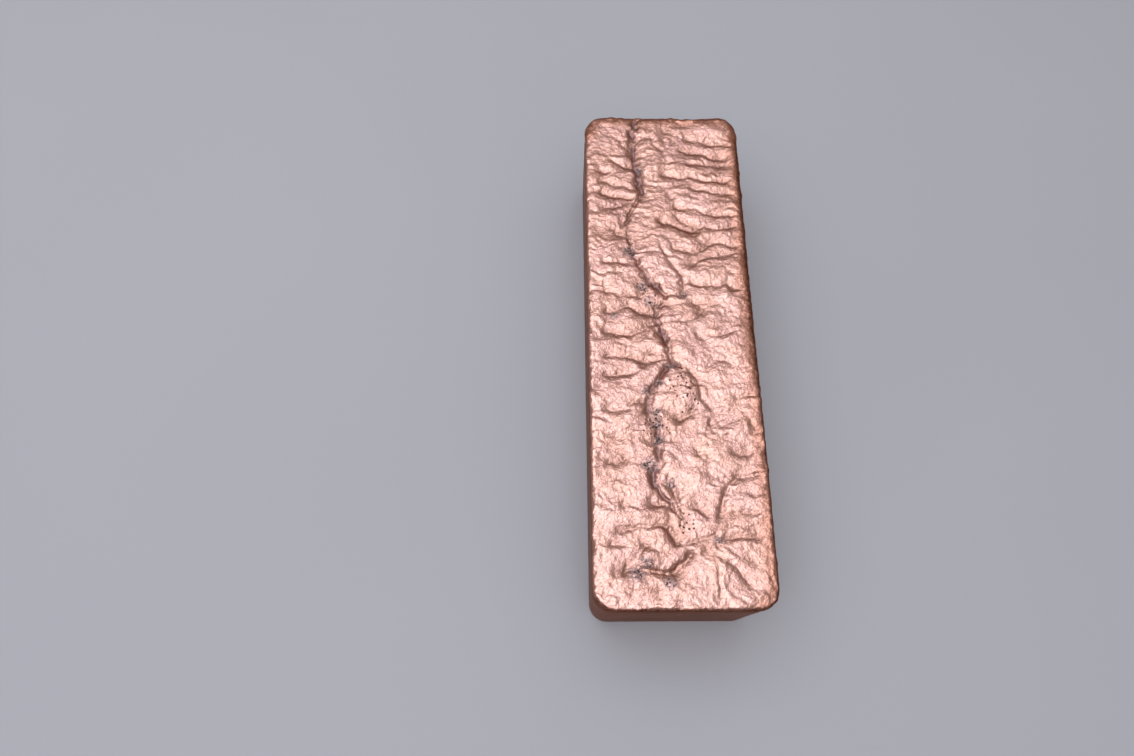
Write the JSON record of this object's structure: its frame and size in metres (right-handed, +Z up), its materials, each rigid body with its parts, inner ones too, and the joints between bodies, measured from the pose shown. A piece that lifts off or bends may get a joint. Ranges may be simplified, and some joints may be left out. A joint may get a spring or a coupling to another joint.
{
  "type": "copper ingot",
  "caption": "Cast copper bar with drafted walls, rounded corners, a rolled rim and a wrinkled free face parted by a long shrinkage seam.",
  "frame": {"origin": "middle of the flat base", "axes": "+Y along the long side, +Z up towards the free face"},
  "size_m": [0.064, 0.202, 0.0505],
  "materials": {
    "copper": "satin as-cast copper, pinkish on the free face, browner and streaked on the walls, grey oxide in the seam"
  },
  "bodies": {
    "root": {"ingot": "copper"}
  },
  "joints": []
}
